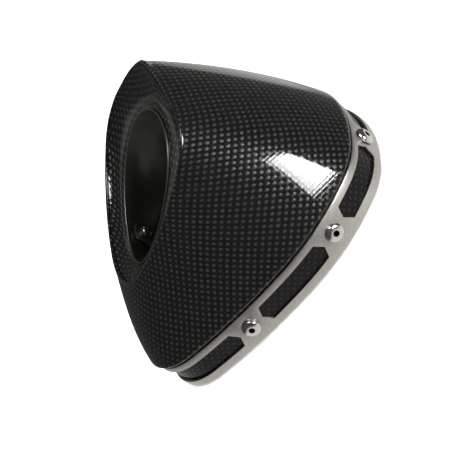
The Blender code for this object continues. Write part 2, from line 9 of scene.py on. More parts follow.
import bmesh
import bpy
from mathutils import Matrix, Vector


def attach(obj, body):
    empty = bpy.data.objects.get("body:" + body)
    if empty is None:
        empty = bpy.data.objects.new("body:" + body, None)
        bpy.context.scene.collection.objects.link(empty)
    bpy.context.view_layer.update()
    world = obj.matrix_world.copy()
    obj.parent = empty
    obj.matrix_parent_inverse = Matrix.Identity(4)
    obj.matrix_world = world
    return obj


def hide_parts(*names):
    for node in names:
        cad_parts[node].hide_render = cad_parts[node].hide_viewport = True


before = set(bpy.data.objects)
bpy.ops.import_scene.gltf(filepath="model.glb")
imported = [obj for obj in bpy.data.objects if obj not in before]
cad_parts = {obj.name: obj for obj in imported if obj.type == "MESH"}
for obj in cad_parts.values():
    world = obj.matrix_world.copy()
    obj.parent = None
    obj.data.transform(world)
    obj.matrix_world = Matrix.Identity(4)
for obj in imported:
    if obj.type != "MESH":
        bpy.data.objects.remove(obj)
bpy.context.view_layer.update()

MM = 0.001
GAP = 0.3 * MM

# Sections, as (radius, turn in degrees) from the roof round to the keel
BASE_ARCS = ((84.7 * MM, 39.8), (26.4 * MM, 37.5), (69.3 * MM, 38.5), (215.6 * MM, 16.2))
MOUTH_ARCS = ((17.0 * MM, 11.3), (92.6 * MM, 22.8), (20.0 * MM, 71.8), (92.8 * MM, 31.4))
FINE = 432                          # points round a fine section

# Clamp band and rivets
BAND_WIDTH = 17.0 * MM
BAND_WALL = 1.0 * MM
BAND_LIP = 3.2 * MM
BAND_ROLL = 1.2 * MM
BAND_EDGE = 0.4 * MM
BAND_BREAK = 0.15 * MM              # broken edges of the windows and holes
WINDOW_HEIGHT = 9.2 * MM
WINDOW_POINT = 2.6 * MM
WINDOW_LAND = 7.3 * MM
WINDOW_STEP = 1.0 * MM
WINDOW_TIP = 0.1 * MM
WINDOW_CUT = (2.0 * MM, -1.0 * MM)  # insets that the window cutters reach between
RIVET_SPOTS = (45.0 * MM, 97.2 * MM, 153.5 * MM)  # along the outline from the roof's middle
RIVET_Z = BAND_WIDTH / 2 + 0.5 * MM
RIVET_HEAD = 4.3 * MM
RIVET_RISE = 2.2 * MM
RIVET_SHANK = 2.2 * MM
RIVET_HOLE = 2.6 * MM
RIVET_BORE = 1.15 * MM
RIVET_LAND = 0.25 * MM              # edge of a rivet's head, and the land round its bore
RIVET_TAIL = 3.1 * MM
RIVET_BORE_DEPTH = 2.4 * MM
BORE_MOUTH = 0.3 * MM
EDGE_BREAK = 0.1 * MM               # broken edges of rivets and screw
FINE_BREAK = 0.08 * MM
TAIL_NOSE = 0.7                     # shares of a radius that shape the rivet's far end
TAIL_SWELL = 0.6
BACKING_WALL = 1.5 * MM
CUTTER_REACH = 8.0 * MM
CUTTER_MARGIN = 3.0 * MM
DOME_POWER = 2.4

# Shell
SHELL_PROUD = 0.9 * MM
SHELL_WALL = 2.0 * MM
SHELL_FOOT = BAND_WIDTH + 1.2 * MM
FOOT_BEVEL = 0.9 * MM
FOOT_FLAT = 0.15 * FOOT_BEVEL
SKIRT_BOTTOM = BAND_WALL + 0.4 * MM
TAPER_CURVE = 0.38
SHELL_STEPS = 44
INNER_STRIDE = 4                    # the hidden face needs fewer loops

# Mouth, its dish and the outlet opening
MOUTH_DROP = 4.1 * MM
MOUTH_Z = 72.7 * MM
MOUTH_SLANT = 0.47
BEAK_RISE = 4.9 * MM
RIM_ROUND = 1.0 * MM
EGG_HALF_WIDTH = 25.9 * MM
EGG_HALF_HEIGHT = 30.1 * MM
EGG_TAPER = 0.2
EGG_DROP = 6.5 * MM
EGG_Z = 66.5 * MM
EGG_SLANT = 0.515
FUNNEL_WALL = 1.5 * MM
FUNNEL_NECK = 3.0 * MM
FUNNEL_STEPS = 20
FUNNEL_DISH = 2.6

# Outlet sleeve and noise insert
SLEEVE_DROP = 7.0 * MM
SLEEVE_RADIUS = 25.2 * MM
SLEEVE_WALL = 1.0 * MM
SLEEVE_BOTTOM = 8.0 * MM
SLEEVE_NECK = 6.2 * MM
SLEEVE_ROUND_BELOW = 8.0 * MM
SLEEVE_PROUD = 0.9 * MM
SLEEVE_ROUND = 0.45 * MM
SLEEVE_POINTS = 240
SEAT_TOP = 34.0 * MM
COLLAR_RADIUS = 22.4 * MM
INSERT_WALL = 1.2 * MM
TAB_AZIMUTH = 229.0
SCREW_Z = 50.2 * MM
SCREW_RADIUS = 1.3 * MM
SCREW_HEAD = 2.85 * MM
SCREW_HEAD_RISE = 1.7 * MM
SCREW_SOCKET = 1.0 * MM
SCREW_POINT = 0.4 * MM
SOCKET_LAND = 0.2 * MM
THREAD_DEPTH = 0.18 * MM
THREAD_RINGS = 10
WASHER_THICK = 0.5 * MM
NUT_THICK = 1.2 * MM

CENTRE_Y = 0.0
MOUTH_Y = CENTRE_Y - MOUTH_DROP
EGG_Y = CENTRE_Y - EGG_DROP
SLEEVE_Y = CENTRE_Y - SLEEVE_DROP

# Carbon cloth
TOW = 1.9 * MM                      # width of one tow
CROWN_SHEEN_TONE = 0.022                    # painted sheen: brightness of a tow's crown in the base colour
RESIN_TONE = 0.004
SKIRT_SHADE_SHARE = 0.2                    # share of that painted sheen left on the skirt, inside the band: painted shade under the band
SKIRT_COAT = 0.35
TOW_SADDLE = 0.45                   # how far a tow dips along its own length between crossings
TOW_SHEEN = 0.8
DULLEST_TOW = 0.75
# how tightly the painted highlight gathers on a tow's crown
DOT_SHARPNESS = 1.25
BACK_TOW_SHEEN = 0.06                     # share of the painted sheen on the tows that cross the bright ones
FIBRES = 16.0                       # fibre lines across a tow
FIBRE_RUN = 0.7                     # and how often they change along it
SHELL_BIAS = math.radians(50)       # slant of the shell's cloth at the roof's middle
SHELL_TURN = 4.2                    # how far it turns for each metre round the base, radians
DISH_BIAS = math.radians(45)

# Metal and fibre
NOISE_SPAN = (0.3, 0.7)             # where most of a noise's values lie
STAIN_SPAN = (0.42, 0.68)
GRAIN_SHADE = 0.78
PATCH_SCALE = 38.0

# View
EYE = Vector((0.8793, -0.06185, 0.4187))
EYE_RIGHT = Vector((0.3856, 0.5076, -0.7705))
EYE_UP = Vector((-0.1644, 0.8595, 0.4840))
LENS = 166.4

# Light. The room's glows are strengths of the world, seen in the reflections.
ROOM_GLOW = 0.07
TABLE_GLOW = 0.75                   # below the horizon
TABLE_GLOW_ROOF = 0.8               # the same on the roof's side
ROOF_SIDE = (0.1, 0.7)
TABLE_EDGE = (-0.28, -0.40)         # heights between which the table fades in
WALL_GLOW = 0.75
WALL_WAY = Vector((-0.92, 0.39, 0.0))
WALL_EDGE = (0.942, 0.952)          # cosines between which the wall fades in
WALL_TOP = (0.02, -0.06)
LINING_GLOW = 0.3
LINING_WAY = Vector((-0.80, -0.33, 0.50))
LINING_EDGE = (math.cos(math.radians(17)), math.cos(math.radians(8)))
WORLD_COLOUR = (1.0, 0.985, 0.96, 1.0)
KEY_GLOW = 38.0
KEY_FADE = 0.6
KEY_CORNERS = (
    (1.20, 0.20, 0.05), (1.05, 0.72, 0.05), (0.92, 0.80, 0.30), (1.14, 0.49, 0.36),
)
MIDDLE = Vector((0.0, 0.0, 0.05))   # the lamps' aim
OVERHEAD_AT = MIDDLE + Vector((-0.3, 0.1, 1.6))
OVERHEAD_SIZE = 1.6
OVERHEAD_POWER = 55.0
STRIP_AT = MIDDLE + Vector((0.47, 0.16, 0.86))
STRIP_SIZE = (0.14, 0.30)
STRIP_POWER = 3.5
FLOOR_REACH = 6.0
FLOOR_DROP = 0.4 * MM
FLOOR_GLOW = 0.35
WHITE = (1.0, 1.0, 1.0, 1.0)
BLACK = (0.0, 0.0, 0.0, 1.0)


# ---------------------------------------------------------------- outlines

class Outline:
    """A closed outline mirrored in X, made of arcs that run into each other."""

    def __init__(self, arcs, centre_y):
        self.arcs = []
        x = 0.0
        y = 0.0
        heading = 0.0
        length = 0.0
        for radius, degrees in arcs:
            turn = math.radians(degrees)
            self.arcs.append((length, x, y, heading, radius))
            x += radius * (math.sin(heading) - math.sin(heading - turn))
            y += radius * (math.cos(heading - turn) - math.cos(heading))
            heading -= turn
            length += radius * turn
        radius = x / math.sin(math.pi + heading)
        self.arcs.append((length, x, y, heading, radius))
        self.half = length + radius * (math.pi + heading)
        keel = y - radius * (1 + math.cos(heading))
        self.half_height = -keel / 2
        self.lift = centre_y + self.half_height

    def at(self, distance, inset=0.0):
        """Point at a distance along the outline from the roof, and its outward normal."""
        distance %= 2 * self.half
        side = 1.0 if distance <= self.half else -1.0
        distance = min(distance, 2 * self.half - distance)
        start, x, y, heading, radius = [arc for arc in self.arcs if arc[0] <= distance + 1e-9][-1]
        now = heading - (distance - start) / radius
        normal = Vector((side * -math.sin(now), math.cos(now)))
        point = Vector((
            side * (x + radius * (math.sin(heading) - math.sin(now))),
            y + radius * (math.cos(now) - math.cos(heading)) + self.lift,
        ))
        return point - normal * inset, normal


BASE = Outline(BASE_ARCS, CENTRE_Y)
MOUTH = Outline(MOUTH_ARCS, MOUTH_Y)


def outline_frames(outline, count=FINE):
    """Point and normal at even distances along an outline, worked out once."""
    return [outline.at(2 * outline.half * i / count) for i in range(count)]


BASE_FRAMES = outline_frames(BASE)
MOUTH_FRAMES = outline_frames(MOUTH)


def base_loop(inset, z):
    loop = []
    for point, normal in BASE_FRAMES:
        spot = point - normal * inset
        loop.append(Vector((spot.x, spot.y, z)))
    return loop


def mouth_height(y):
    offset = y - MOUTH_Y
    beak = min(max(2 * offset / MOUTH.half_height - 1, 0.0), 1.0)
    return MOUTH_Z + MOUTH_SLANT * offset + BEAK_RISE * beak ** 2


def mouth_loop(inset, below):
    loop = []
    for point, normal in MOUTH_FRAMES:
        spot = point - normal * inset
        loop.append(Vector((spot.x, spot.y, mouth_height(point.y) - below)))
    return loop


def egg_loop(outset, above, count=FINE):
    loop = []
    for i in range(count):
        angle = 2 * math.pi * i / count
        rise = math.cos(angle)
        x = (EGG_HALF_WIDTH * (1 + EGG_TAPER * rise) + outset) * math.sin(angle)
        y = EGG_Y + (EGG_HALF_HEIGHT + outset) * rise
        loop.append(Vector((x, y, EGG_Z + EGG_SLANT * EGG_HALF_HEIGHT * rise + above)))
    return loop


def circle_loop(radius, z, count=SLEEVE_POINTS, centre_y=SLEEVE_Y):
    loop = []
    for i in range(count):
        angle = 2 * math.pi * i / count
        loop.append(Vector((radius * math.sin(angle), centre_y + radius * math.cos(angle), z)))
    return loop


def mix_loops(first, second, weight, height_weight=None):
    height_weight = weight if height_weight is None else height_weight
    loop = []
    for a, b in zip(first, second):
        point = a.lerp(b, weight)
        point.z = a.z + (b.z - a.z) * height_weight
        loop.append(point)
    return loop


def shell_loop(inset, part):
    """Loop of the shell between its foot (0) and its mouth (1)."""
    curve = part + TAPER_CURVE * part * (part - 1)
    foot = base_loop(inset - SHELL_PROUD, SHELL_FOOT + FOOT_BEVEL)
    return mix_loops(foot, mouth_loop(inset, RIM_ROUND), curve, part)


def funnel_loop(part, below):
    """Loop of the dished mouth between the rim (0) and the outlet opening (1)."""
    rim = mouth_loop(SHELL_WALL + GAP, RIM_ROUND)
    loop = mix_loops(rim, egg_loop(GAP, 0.0), part, 1 - (1 - part) ** FUNNEL_DISH)
    return [point - Vector((0, 0, below)) for point in loop]


# ---------------------------------------------------------------- cloth

class Cloth:
    """Lays flat cloth round a cone: place on the base and way up the cone to cloth coordinates."""

    def __init__(self, outline, turn, bias):
        self.turn = turn
        self.bias = bias
        self.step = outline.half / FINE
        self.spots = {0: Vector((0.0, 0.0))}
        for way in (1, -1):
            spot = Vector((0.0, 0.0))
            for i in range(FINE):
                heading = self.heading(way * (i + 0.5))
                spot = spot + Vector((math.cos(heading), math.sin(heading))) * self.step * way
                self.spots[way * (i + 1)] = spot

    def heading(self, place):
        return self.bias + self.turn * self.step * place

    def at(self, place, height):
        """Cloth coordinates; place counts half points from the roof, negative round -X."""
        heading = self.heading(place)
        up = Vector((-math.sin(heading), math.cos(heading)))
        return (self.spots[place] + up * height) / TOW


def cone_turn(wide, narrow):
    """Turn of flat cloth for each metre round the wide end of a cone between two loops."""
    length = sum((b - a).length for a, b in zip(wide, narrow)) / len(wide)
    return (1 - round_length(narrow) / round_length(wide)) / length


def round_length(loop):
    return sum((b - a).length for a, b in zip(loop, loop[1:] + loop[:1]))


def face_place(i, count):
    """The two ends of face i of a loop as half points from the roof, without crossing the keel."""
    a = 2 * i if i < count / 2 else 2 * (i - count)
    return a, a + 2


# ---------------------------------------------------------------- meshes

def skin(shape, loops, ring, uv=None, heights=None, cloth=None):
    """Skin over loops. With a ring, the last loop joins the first; else the ends are filled."""
    rows = [[shape.verts.new(point) for point in loop] for loop in loops]
    count = len(rows[0])
    total = len(rows)
    for k in range(total if ring else total - 1):
        lower = rows[k]
        upper = rows[(k + 1) % total]
        for i in range(count):
            j = (i + 1) % count
            face = shape.faces.new((lower[i], lower[j], upper[j], upper[i]))
            if uv is None:
                continue
            a, b = face_place(i, count)
            low = heights[k][i], heights[k][j]
            top = heights[(k + 1) % total][i], heights[(k + 1) % total][j]
            places = (cloth(a, low[0]), cloth(b, low[1]), cloth(b, top[1]), cloth(a, top[0]))
            for loop, place in zip(face.loops, places):
                loop[uv].uv = place
    if not ring:
        shape.faces.new(rows[0])
        shape.faces.new(rows[-1])


def finished(name, shape, finish, sharp=35.0):
    bmesh.ops.recalc_face_normals(shape, faces=shape.faces)
    mesh = bpy.data.meshes.new(name)
    shape.to_mesh(mesh)
    shape.free()
    mesh.shade_smooth()
    mesh.set_sharp_from_angle(angle=math.radians(sharp))
    mesh.materials.append(finish)
    item = bpy.data.objects.new(name, mesh)
    bpy.context.scene.collection.objects.link(item)
    return item


def ring_piece(name, loops, finish, heights=None, cloth=None, sharp=35.0):
    shape = bmesh.new()
    uv = shape.loops.layers.uv.new("cloth") if cloth else None
    skin(shape, loops, True, uv, heights, cloth)
    return finished(name, shape, finish, sharp)


def way_heights(loops, start):
    """Length along each generator, loop after loop, from a start height."""
    heights = [[start] * len(loops[0])]
    for before, after in zip(loops, loops[1:]):
        last = heights[-1]
        heights.append([h + (b - a).length for h, a, b in zip(last, before, after)])
    return heights


def cut(item, cutter):
    boolean = item.modifiers.new("cut", "BOOLEAN")
    boolean.operation = "DIFFERENCE"
    boolean.solver = "EXACT"
    boolean.object = cutter


def apply_cuts(item, sharp=35.0):
    """Keep the cut mesh and drop the modifiers."""
    graph = bpy.context.evaluated_depsgraph_get()
    mesh = bpy.data.meshes.new_from_object(item.evaluated_get(graph))
    item.modifiers.clear()
    item.data = mesh
    mesh.set_sharp_from_angle(angle=math.radians(sharp))


def settle(item, node, body):
    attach(item, body)
    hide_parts(node)


# ---------------------------------------------------------------- materials

class Graph:
    """Short hand for the node tree of a material or of the world."""

    def __init__(self, tree, shader):
        self.tree = tree
        self.inputs = tree.nodes[shader].inputs

    def set(self, **values):
        for name, value in values.items():
            self.inputs[name.replace("_", " ")].default_value = value

    def drive(self, name, value):
        self.feed(self.inputs[name], value)

    def node(self, kind, **settings):
        item = self.tree.nodes.new(kind)
        for name, value in settings.items():
            setattr(item, name, value)
        return item

    def feed(self, socket, value):
        if hasattr(value, "is_output"):
            self.tree.links.new(value, socket)
        else:
            socket.default_value = value

    def math(self, operation, first, second=0.0):
        item = self.node("ShaderNodeMath", operation=operation)
        for socket, value in zip(item.inputs, (first, second)):
            self.feed(socket, value)
        return item.outputs[0]

    def split(self, vector):
        item = self.node("ShaderNodeSeparateXYZ")
        self.feed(item.inputs[0], vector)
        return item.outputs

    def choose(self, factor, first, second):
        """Plain number between two."""
        item = self.node("ShaderNodeMix", data_type="FLOAT")
        for name, value in (("Factor", factor), ("A", first), ("B", second)):
            self.feed(item.inputs[name], value)
        return item.outputs["Result"]

    def mix(self, factor, first, second):
        item = self.node("ShaderNodeMix", data_type="RGBA")
        self.feed(item.inputs["Factor"], factor)
        self.feed(item.inputs["A"], (*first, 1.0) if isinstance(first, tuple) else first)
        self.feed(item.inputs["B"], (*second, 1.0) if isinstance(second, tuple) else second)
        return item.outputs["Result"]

    def spread(self, value, low, high, new_low, new_high):
        item = self.node("ShaderNodeMapRange")
        for socket, number in zip(item.inputs, (value, low, high, new_low, new_high)):
            self.feed(socket, number)
        return item.outputs["Result"]

    def vary(self, noise, low, high):
        """Spread the usual range of a noise over two values."""
        return self.spread(noise, *NOISE_SPAN, low, high)

    def noise(self, vector, scale, detail=3.0, roughness=0.5):
        item = self.node("ShaderNodeTexNoise")
        self.feed(item.inputs["Vector"], vector)
        item.inputs["Scale"].default_value = scale
        item.inputs["Detail"].default_value = detail
        item.inputs["Roughness"].default_value = roughness
        return item.outputs["Fac"]

    def scaled(self, vector, scale):
        item = self.node("ShaderNodeMapping")
        self.feed(item.inputs["Vector"], vector)
        item.inputs["Scale"].default_value = scale
        return item.outputs["Vector"]

    def bump(self, height, strength, distance):
        item = self.node("ShaderNodeBump")
        item.inputs["Strength"].default_value = strength
        item.inputs["Distance"].default_value = distance
        self.feed(item.inputs["Height"], height)
        return item.outputs["Normal"]

    def lean(self, way, direction):
        """Cosine between a direction and a fixed one."""
        item = self.node("ShaderNodeVectorMath", operation="DOT_PRODUCT")
        self.feed(item.inputs[0], way)
        item.inputs[1].default_value = direction.normalized()
        return item.outputs["Value"]

    def position(self):
        return self.node("ShaderNodeTexCoord").outputs["Object"]


def start_material(name):
    """A new material and its graph."""
    material = bpy.data.materials.new(name)
    material.use_nodes = True
    return material, Graph(material.node_tree, "Principled BSDF")


def arch(g, place):
    """Round section of a tow over its width, 1 in the middle and 0 at its edges."""
    offset = g.math("SUBTRACT", g.math("FRACT", place), 0.5)
    return g.math("SUBTRACT", 1.0, g.math("MULTIPLY", g.math("MULTIPLY", offset, offset), 4.0))


def tow_height(g, section, along):
    """Height of a tow from its round section and the saddle along it."""
    saddle = g.math("ADD", 1.0 - TOW_SADDLE, g.math("MULTIPLY", along, TOW_SADDLE))
    return g.math("MULTIPLY", g.math("SQRT", section), saddle)


def carbon(name):
    """Clear-coated plain weave. Cloth coordinates count tows, so each whole step is one tow. The base
    colour holds painted sheen, each tow lightest on its crown and one set of tows brighter than the
    other, with the tows' own tone and grain spread over it.
    """
    material, g = start_material(name)
    cloth = g.node("ShaderNodeUVMap", uv_map="cloth").outputs["UV"]
    u, v = g.split(cloth)[:2]
    column = g.math("FLOOR", u)
    row = g.math("FLOOR", v)
    parity = g.math("FLOORED_MODULO", g.math("ADD", column, row), 2.0)
    arch_u = arch(g, u)
    arch_v = arch(g, v)
    height = g.choose(parity, tow_height(g, arch_u, arch_v), tow_height(g, arch_v, arch_u))
    fibre_u = g.noise(g.scaled(cloth, (FIBRES, FIBRE_RUN, 1.0)), 1.0, 2.0)
    fibre_v = g.noise(g.scaled(cloth, (FIBRE_RUN, FIBRES, 1.0)), 1.0, 2.0)
    grain = g.choose(parity, fibre_u, fibre_v)
    spot = g.node("ShaderNodeCombineXYZ")
    g.feed(spot.inputs["X"], column)
    g.feed(spot.inputs["Y"], row)
    chance = g.node("ShaderNodeTexWhiteNoise", noise_dimensions="2D")
    g.feed(chance.inputs["Vector"], spot.outputs["Vector"])
    z = g.split(g.position())["Z"]
    # painted highlight on each tow's crown; the spread by chance and grain after it is the tows' own
    # tone
    light = g.math("POWER", g.math("MULTIPLY", arch_u, arch_v), DOT_SHARPNESS)
    light = g.math("MULTIPLY", light, g.spread(chance.outputs["Value"], 0.0, 1.0, DULLEST_TOW, 1.0))
    light = g.math("MULTIPLY", light, g.vary(grain, 0.8, 1.1))
    # painted sheen: the tows of one direction are brighter than the ones that cross them
    light = g.math("MULTIPLY", light, g.spread(parity, 0.0, 1.0, BACK_TOW_SHEEN, 1.0))
    # painted shade: the skirt inside the band keeps only a share of the painted sheen
    light = g.math("MULTIPLY", light, g.spread(z, SHELL_FOOT - MM, SHELL_FOOT, SKIRT_SHADE_SHARE, 1.0))
    # base colour runs from resin to the painted sheen of a tow's crown
    resin = (RESIN_TONE, RESIN_TONE * 1.05, RESIN_TONE)
    fibre = (CROWN_SHEEN_TONE * 1.02, CROWN_SHEEN_TONE, CROWN_SHEEN_TONE * 0.93)
    g.drive("Specular IOR Level", g.math("MULTIPLY", light, TOW_SHEEN))
    g.drive("Base Color", g.mix(light, resin, fibre))
    g.drive("Roughness", g.vary(grain, 0.3, 0.42))
    g.drive("Normal", g.bump(height, 0.6, 0.35 * MM))
    g.drive("Coat Normal", g.bump(height, 0.12, 0.1 * MM))
    g.drive("Coat Weight", g.spread(z, SHELL_FOOT - MM, SHELL_FOOT, SKIRT_COAT, 1.0))
    g.set(Coat_Roughness=0.03, Coat_IOR=1.45)
    return material


def metal(name, colour, roughness, grain=900.0, stain=None, bump=0.08):
    """Rolled or turned metal: fine lines, patches of tone, a little roughness."""
    material, g = start_material(name)
    place = g.position()
    lines = g.noise(place, grain, 4.0, 0.6)
    patches = g.noise(place, PATCH_SCALE, 3.0)
    dark = tuple(value * GRAIN_SHADE for value in colour)
    tone = g.mix(g.vary(lines, 0.0, 1.0), dark, colour)
    if stain:
        tone = g.mix(g.spread(patches, *STAIN_SPAN, 0.0, 0.8), tone, stain)
    g.drive("Base Color", tone)
    g.drive("Roughness", g.vary(patches, roughness * 0.85, roughness * 1.2))
    g.drive("Normal", g.bump(lines, bump, 0.2 * MM))
    g.set(Metallic=1.0)
    return material


def rivet_metal():
    """Polished head, with painted shade: the base colour turns near black inside its bore."""
    material, g = start_material("rivet_metal")
    place = g.position()
    flat = g.node("ShaderNodeVectorMath", operation="LENGTH")
    g.feed(flat.inputs[0], g.scaled(place, (1.0, 1.0, 0.0)))
    reach = flat.outputs["Value"]
    # painted shade: near-black base colour inside the bore
    painted_bore_shade = g.spread(reach, RIVET_BORE + 0.15 * MM, RIVET_BORE + 0.35 * MM, 1.0, 0.0)
    scuffs = g.noise(place, 700.0, 3.0)
    tone = g.mix(scuffs, (0.58, 0.57, 0.55), (0.74, 0.73, 0.71))
    g.drive("Base Color", g.mix(painted_bore_shade, tone, (0.02, 0.02, 0.02)))
    g.drive("Roughness", g.vary(scuffs, 0.14, 0.24))
    g.drive("Normal", g.bump(scuffs, 0.02, 0.2 * MM))
    g.set(Metallic=1.0)
    return material


def fibrous(name, dark, light, scale, strength):
    """Matt fibre sheet, rubber or glass cloth."""
    material, g = start_material(name)
    place = g.position()
    threads = g.noise(place, scale, 4.0, 0.65)
    patches = g.noise(place, scale / 14, 2.0)
    g.drive("Base Color", g.mix(g.vary(threads, 0.0, 1.0), dark, light))
    g.drive("Roughness", g.vary(patches, 0.75, 0.95))
    g.drive("Normal", g.bump(threads, strength, 0.3 * MM))
    return material


# ---------------------------------------------------------------- pieces

def build_shell(finish, holes):
    skirt_out = BAND_WALL + GAP
    skirt_in = skirt_out + SHELL_WALL
    loops = [base_loop(skirt_in, SKIRT_BOTTOM), base_loop(skirt_out, SKIRT_BOTTOM)]
    loops.append(base_loop(skirt_out, SHELL_FOOT))
    loops.append(base_loop(FOOT_FLAT, SHELL_FOOT))
    for angle in (0, 18, 36, 54, 72):
        lean = math.radians(angle)
        inset = FOOT_BEVEL * (1 - math.sin(lean)) - SHELL_PROUD
        loops.append(base_loop(inset, SHELL_FOOT + FOOT_BEVEL * (1 - math.cos(lean))))
    for step in range(SHELL_STEPS + 1):
        loops.append(shell_loop(0.0, step / SHELL_STEPS))
    for angle in range(15, 181, 15):
        lean = math.radians(angle)
        flat = RIM_ROUND * (1 - math.cos(lean))
        loops.append(mouth_loop(flat, RIM_ROUND * (1 - math.sin(lean))))
    for step in range(SHELL_STEPS, -1, -INNER_STRIDE):
        loops.append(shell_loop(SHELL_WALL, step / SHELL_STEPS))
    loops.append(base_loop(skirt_in, SHELL_FOOT - SHELL_WALL))
    heights = way_heights(loops, -(SHELL_FOOT - SKIRT_BOTTOM))
    cloth = Cloth(BASE, SHELL_TURN, SHELL_BIAS)
    shell = ring_piece("carbon_shell", loops, finish, heights, cloth.at)
    cut(shell, holes)
    apply_cuts(shell)
    settle(shell, "outer_shell", "cap")


def build_funnel(finish):
    steps = [step / FUNNEL_STEPS for step in range(FUNNEL_STEPS + 1)]
    loops = [funnel_loop(part, 0.0) for part in steps]
    loops.append(egg_loop(GAP, -FUNNEL_NECK))
    loops.append(egg_loop(GAP + FUNNEL_WALL, -FUNNEL_NECK))
    loops += [funnel_loop(part, FUNNEL_WALL) for part in reversed(steps[1:-1])]
    loops.append([point - Vector((0, 0, FUNNEL_WALL)) for point in funnel_loop(0.0, 0.0)])
    heights = way_heights(loops, 0.0)
    turn = cone_turn(funnel_loop(0.0, 0.0), funnel_loop(1.0, 0.0))
    cloth = Cloth(MOUTH, turn, DISH_BIAS)
    funnel = ring_piece("carbon_mouth_dish", loops, finish, heights, cloth.at)
    settle(funnel, "mouth_funnel", "cap")


def rivet_distances():
    """Distances of the rivets along the outline, right round from the roof's middle."""
    far_side = [2 * BASE.half - spot for spot in reversed(RIVET_SPOTS)]
    return list(RIVET_SPOTS) + far_side


def rivet_axis(distance):
    point, normal = BASE.at(distance)
    return Vector((point.x, point.y, RIVET_Z)), Vector((normal.x, normal.y, 0.0))


def prism(origin, direction, radius, start, end, count=48):
    across = direction.cross(Vector((0, 0, 1)))
    loops = []
    for reach in (start, end):
        loop = []
        for i in range(count):
            angle = 2 * math.pi * i / count
            spot = across * math.cos(angle) + Vector((0, 0, 1)) * math.sin(angle)
            loop.append(origin + direction * reach + spot * radius)
        loops.append(loop)
    return loops


def cutter(name, solids):
    shape = bmesh.new()
    for loops in solids:
        skin(shape, loops, False)
    item = finished(name, shape, bpy.data.materials.new(name))
    item.hide_render = True
    return item


def rivet_holes():
    sections = []
    for distance in rivet_distances():
        origin, normal = rivet_axis(distance)
        sections.append(prism(origin, normal, RIVET_HOLE, -CUTTER_REACH, CUTTER_MARGIN))
    return cutter("rivet_holes", sections)


def window_section(distance, half_height):
    inner, outer = WINDOW_CUT
    section = []
    for inset, side in ((inner, -1), (inner, 1), (outer, 1), (outer, -1)):
        point = BASE.at(distance, inset)[0]
        section.append(Vector((point.x, point.y, RIVET_Z + side * half_height)))
    return section


def window_loops(start, end):
    """A long window with a point at each end, following the band round."""
    first = start + WINDOW_POINT
    last = end - WINDOW_POINT
    steps = round((last - first) / WINDOW_STEP)
    loops = [window_section(start, WINDOW_TIP)]
    for i in range(steps + 1):
        loops.append(window_section(first + (last - first) * i / steps, WINDOW_HEIGHT / 2))
    loops.append(window_section(end, WINDOW_TIP))
    return loops


def band_windows():
    stations = rivet_distances()
    spans = list(zip(stations, stations[1:]))
    spans.append((stations[-1], stations[0] + 2 * BASE.half))
    sections = [window_loops(a + WINDOW_LAND, b - WINDOW_LAND) for a, b in spans]
    return cutter("band_windows", sections)


def build_band(finish, holes, windows):
    loops = []
    for angle in (90, 70, 50, 30, 10, 0):
        lean = math.radians(angle)
        loops.append(base_loop(BAND_ROLL * (1 - math.cos(lean)), BAND_ROLL * (1 - math.sin(lean))))
    for angle in (0, 30, 60, 90):
        lean = math.radians(angle)
        top = BAND_WIDTH - BAND_EDGE * (1 - math.sin(lean))
        loops.append(base_loop(BAND_EDGE * (1 - math.cos(lean)), top))
    loops.append(base_loop(BAND_WALL, BAND_WIDTH))
    loops.append(base_loop(BAND_WALL, BAND_WALL))
    loops.append(base_loop(BAND_LIP, BAND_WALL))
    loops.append(base_loop(BAND_LIP, 0.0))
    band = ring_piece("steel_band", loops, finish)
    cut(band, holes)
    cut(band, windows)
    apply_cuts(band)
    bevel = band.modifiers.new("edges", "BEVEL")
    bevel.width = BAND_BREAK
    bevel.segments = 2
    bevel.limit_method = "ANGLE"
    bevel.angle_limit = math.radians(50)
    settle(band, "clamp_band", "cap")


def turned(name, profile, finish, count=64, sharp=30.0):
    """A turned piece along its own Z, with both ends of its profile filled."""
    shape = bmesh.new()
    skin(shape, [circle_loop(radius, z, count, 0.0) for radius, z in profile], False)
    return finished(name, shape, finish, sharp)


def place(item, origin, direction):
    item.rotation_mode = "QUATERNION"
    item.rotation_quaternion = direction.to_track_quat("Z", "Y")
    item.location = origin


def dome(radius, low, high, bore, steps=14):
    """Points of a dome's profile from its edge up to its bore."""
    points = []
    for i in range(steps + 1):
        reach = radius + (bore - radius) * i / steps
        share = (reach - bore) / (radius - bore)
        points.append((reach, low + (high - low) * math.sqrt(1 - share ** DOME_POWER)))
    return points


def rivet_profile():
    stack = BAND_WALL + SHELL_WALL + BACKING_WALL + 3 * GAP
    tail = -stack - 2 * GAP
    bottom = [
        (RIVET_TAIL * TAIL_NOSE, tail - RIVET_TAIL),
        (RIVET_TAIL, tail - RIVET_TAIL * TAIL_SWELL),
        (RIVET_SHANK, tail - GAP),
        (RIVET_SHANK, GAP),
        (RIVET_HEAD - EDGE_BREAK, GAP),
    ]
    head = dome(RIVET_HEAD, GAP + RIVET_LAND, RIVET_RISE, RIVET_BORE + RIVET_LAND)
    bore = [
        (RIVET_BORE + FINE_BREAK, RIVET_RISE - FINE_BREAK),
        (RIVET_BORE, RIVET_RISE - BORE_MOUTH),
        (RIVET_BORE, RIVET_RISE - RIVET_BORE_DEPTH),
        (RIVET_BORE * TAIL_NOSE, RIVET_RISE - RIVET_BORE_DEPTH - EDGE_BREAK),
    ]
    return bottom + head + bore


def build_rivets(finish):
    profile = rivet_profile()
    for number, distance in enumerate(rivet_distances(), 1):
        rivet = turned("rivet_%02d" % number, profile, finish)
        origin, normal = rivet_axis(distance)
        place(rivet, origin, normal)
        settle(rivet, "blind_rivet_%02d" % number, "cap")


